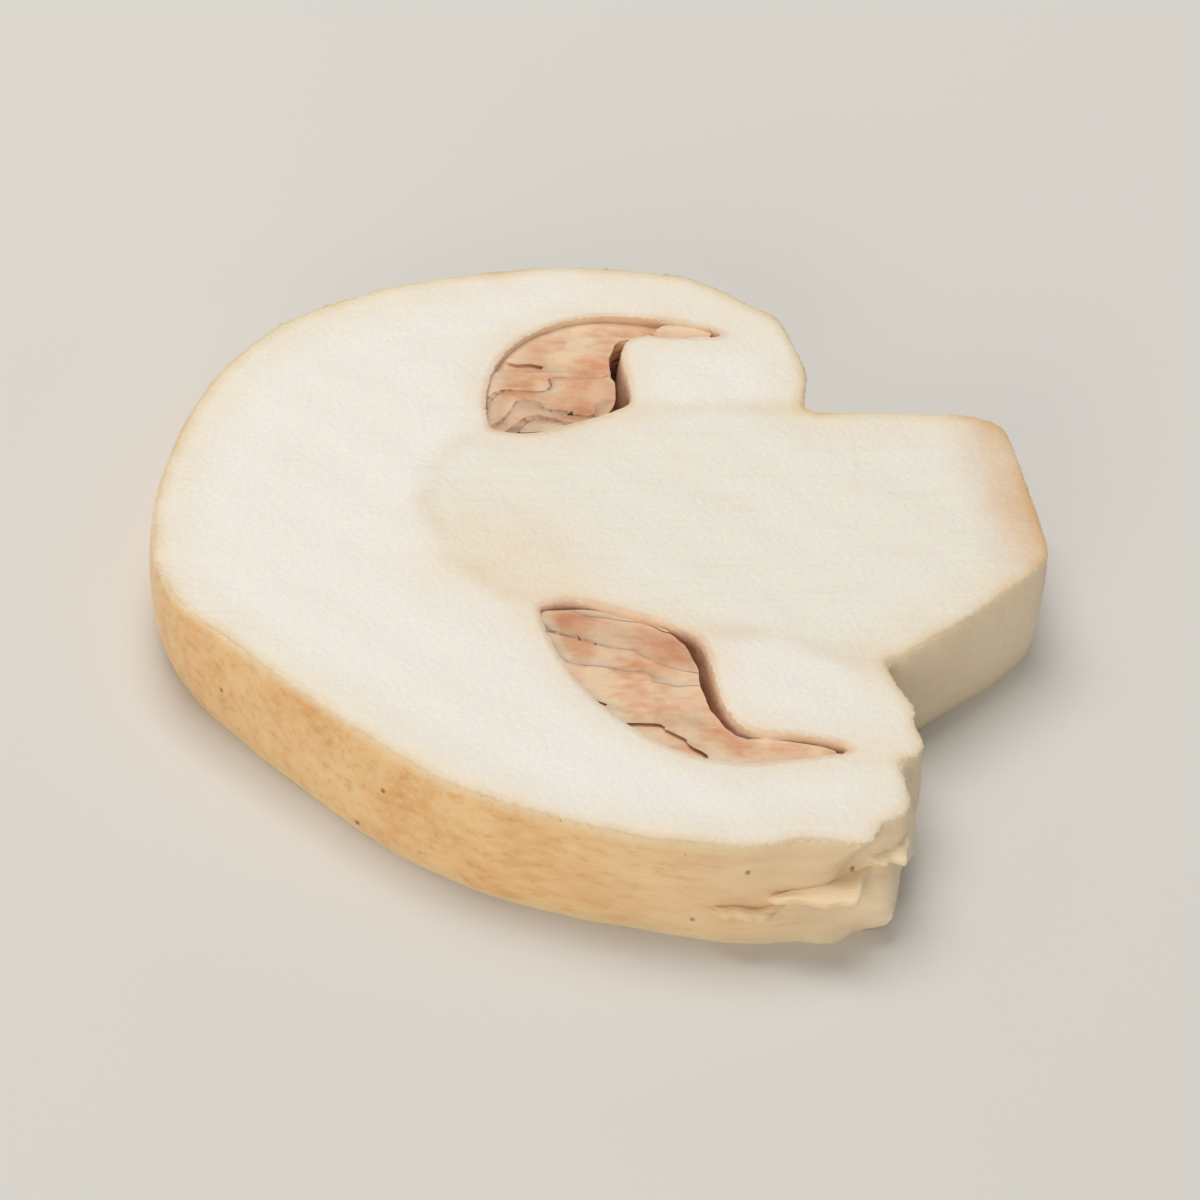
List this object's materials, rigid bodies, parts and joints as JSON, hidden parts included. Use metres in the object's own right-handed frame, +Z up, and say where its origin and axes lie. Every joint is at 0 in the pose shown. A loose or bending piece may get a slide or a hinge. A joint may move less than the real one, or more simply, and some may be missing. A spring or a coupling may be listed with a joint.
{
  "type": "sliced button mushroom",
  "caption": "Lengthwise slice through the cap and stem of a fresh button mushroom, with a pale cut face, tan skin and pink-brown gills in a pocket on each side of the stem.",
  "frame": {"origin": "on the lower cut face that the slice lies on, under the centre of its bounding box", "axes": "+X along the mushroom from the crown of its cap to the foot of its stem, +Y across it, +Z up through the slice from the lower cut to the upper one"},
  "size_m": [0.0462, 0.045, 0.006],
  "materials": {
    "mushroom_flesh": "Moist cream-white cut flesh with a thin tan skin round the edge and pink-brown gills."
  },
  "bodies": {
    "root": {"mushroom_slice": "mushroom_flesh"}
  },
  "joints": []
}
